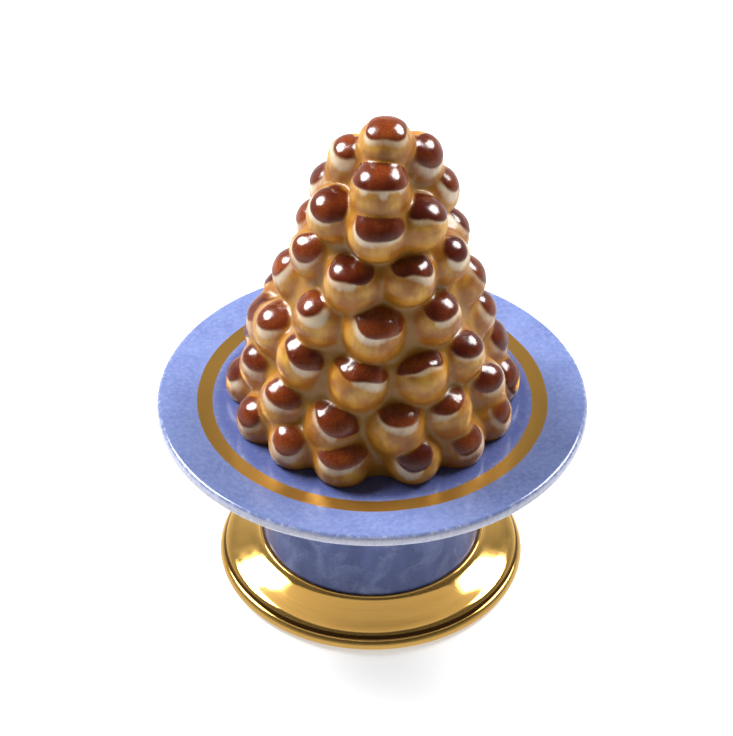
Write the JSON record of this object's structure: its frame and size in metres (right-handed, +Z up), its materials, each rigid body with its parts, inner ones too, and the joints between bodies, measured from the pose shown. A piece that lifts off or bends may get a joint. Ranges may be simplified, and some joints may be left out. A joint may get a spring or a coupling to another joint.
{
  "type": "porcelain croquembouche ornament on a cake stand",
  "caption": "Glazed porcelain ornament of a choux puff tower with chocolate caps, on a round blue cake stand with a waisted stem and a gilt foot.",
  "frame": {"origin": "centre of the foot's underside, on the stem's axis", "axes": "+Z up through the stem to the tower's top; -Y is the front, +X is to the right seen from the front"},
  "size_m": [0.07, 0.07, 0.0868],
  "materials": {
    "choux_glaze": "hand-painted ochre choux with brown chocolate caps and cream strokes under a clear glaze",
    "blue_glaze": "sponged periwinkle blue under a clear glaze, with a painted gold ring",
    "stem_glaze": "the same blue, fired darker, under a clear glaze",
    "gold_lustre": "burnished gold lustre"
  },
  "bodies": {
    "root": {"croquembouche": "choux_glaze", "cake_plate": "blue_glaze", "stem": "stem_glaze", "foot": "gold_lustre"}
  },
  "joints": []
}
